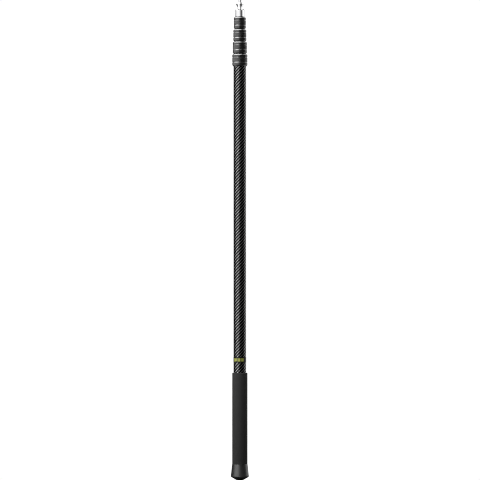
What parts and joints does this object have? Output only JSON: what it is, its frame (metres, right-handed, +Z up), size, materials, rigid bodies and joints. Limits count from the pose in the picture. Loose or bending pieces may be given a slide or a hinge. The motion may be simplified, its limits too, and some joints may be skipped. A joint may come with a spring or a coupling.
{
  "type": "telescoping pole",
  "caption": "Telescoping carbon-fibre pole with stacked twist-lock collars, foam grip, flared rubber foot and chrome threaded stud.",
  "frame": {"origin": "on the pole's axis, at the lowest point of the rubber foot", "axes": "+Z up the pole to the stud; +X to the right and -Y towards the viewer of the band's marks"},
  "size_m": [0.0428, 0.0428, 1.1442],
  "materials": {
    "carbon_weave": "gloss",
    "black_anodised": "satin",
    "chrome": "polished",
    "foam": "matte",
    "black_rubber": "satin",
    "wiper_rubber": "satin",
    "nylon": "satin",
    "black_acetal": "satin",
    "washer_brass": "satin",
    "band_yellow": "satin"
  },
  "bodies": {
    "main_pole": {"main_tube": "carbon_weave", "lock_1_ferrule": "black_anodised", "lock_1_collet": "nylon", "lock_1_washer": "washer_brass", "butt_plug": "black_acetal", "rubber_foot": "black_rubber", "foam_grip": "foam", "marking_band": "band_yellow"},
    "lock_1": {"lock_1_collar": "black_anodised", "lock_1_wiper_ring": "wiper_rubber"},
    "glide_2": {"section_2_glide_sleeve": "black_acetal"},
    "section_2": {"section_2_tube": "carbon_weave", "section_2_end_plug": "black_acetal", "lock_2_ferrule": "black_anodised", "lock_2_collet": "nylon", "lock_2_washer": "washer_brass"},
    "lock_2": {"lock_2_collar": "black_anodised", "lock_2_wiper_ring": "wiper_rubber"},
    "glide_3": {"section_3_glide_sleeve": "black_acetal"},
    "section_3": {"section_3_tube": "carbon_weave", "section_3_end_plug": "black_acetal", "lock_3_ferrule": "black_anodised", "lock_3_collet": "nylon", "lock_3_washer": "washer_brass"},
    "lock_3": {"lock_3_collar": "black_anodised", "lock_3_wiper_ring": "wiper_rubber"},
    "glide_4": {"section_4_glide_sleeve": "black_acetal"},
    "section_4": {"section_4_tube": "carbon_weave", "section_4_end_plug": "black_acetal", "lock_4_ferrule": "black_anodised", "lock_4_collet": "nylon", "lock_4_washer": "washer_brass"},
    "lock_4": {"lock_4_collar": "black_anodised", "lock_4_wiper_ring": "wiper_rubber"},
    "glide_5": {"section_5_glide_sleeve": "black_acetal"},
    "section_5": {"section_5_tube": "carbon_weave", "section_5_end_plug": "black_acetal", "end_cap": "chrome", "stud_adapter": "chrome"}
  },
  "joints": [
    {"name": "section_2_slide", "type": "slide", "parent": "main_pole", "child": "glide_2", "axis": [0, 0, 1], "range_m": [0, 0.9056]},
    {"name": "section_2_spin", "type": "hinge", "parent": "glide_2", "child": "section_2", "pos_m": [0, 0, 0.067], "axis": [0, 0, 1], "continuous": true},
    {"name": "lock_1_twist", "type": "hinge", "parent": "main_pole", "child": "lock_1", "pos_m": [0, 0, 1], "axis": [0, 0, 1], "range_deg": [0, 120]},
    {"name": "section_3_slide", "type": "slide", "parent": "section_2", "child": "glide_3", "axis": [0, 0, 1], "range_m": [0, 0.863]},
    {"name": "section_3_spin", "type": "hinge", "parent": "glide_3", "child": "section_3", "pos_m": [0, 0, 0.139], "axis": [0, 0, 1], "continuous": true},
    {"name": "lock_2_twist", "type": "hinge", "parent": "section_2", "child": "lock_2", "pos_m": [0, 0, 1.0294], "axis": [0, 0, 1], "range_deg": [0, 120]},
    {"name": "section_4_slide", "type": "slide", "parent": "section_3", "child": "glide_4", "axis": [0, 0, 1], "range_m": [0, 0.8204]},
    {"name": "section_4_spin", "type": "hinge", "parent": "glide_4", "child": "section_4", "pos_m": [0, 0, 0.211], "axis": [0, 0, 1], "continuous": true},
    {"name": "lock_3_twist", "type": "hinge", "parent": "section_3", "child": "lock_3", "pos_m": [0, 0, 1.0588], "axis": [0, 0, 1], "range_deg": [0, 120]},
    {"name": "section_5_slide", "type": "slide", "parent": "section_4", "child": "glide_5", "axis": [0, 0, 1], "range_m": [0, 0.7778]},
    {"name": "section_5_spin", "type": "hinge", "parent": "glide_5", "child": "section_5", "pos_m": [0, 0, 0.283], "axis": [0, 0, 1], "continuous": true},
    {"name": "lock_4_twist", "type": "hinge", "parent": "section_4", "child": "lock_4", "pos_m": [0, 0, 1.0882], "axis": [0, 0, 1], "range_deg": [0, 120]}
  ]
}
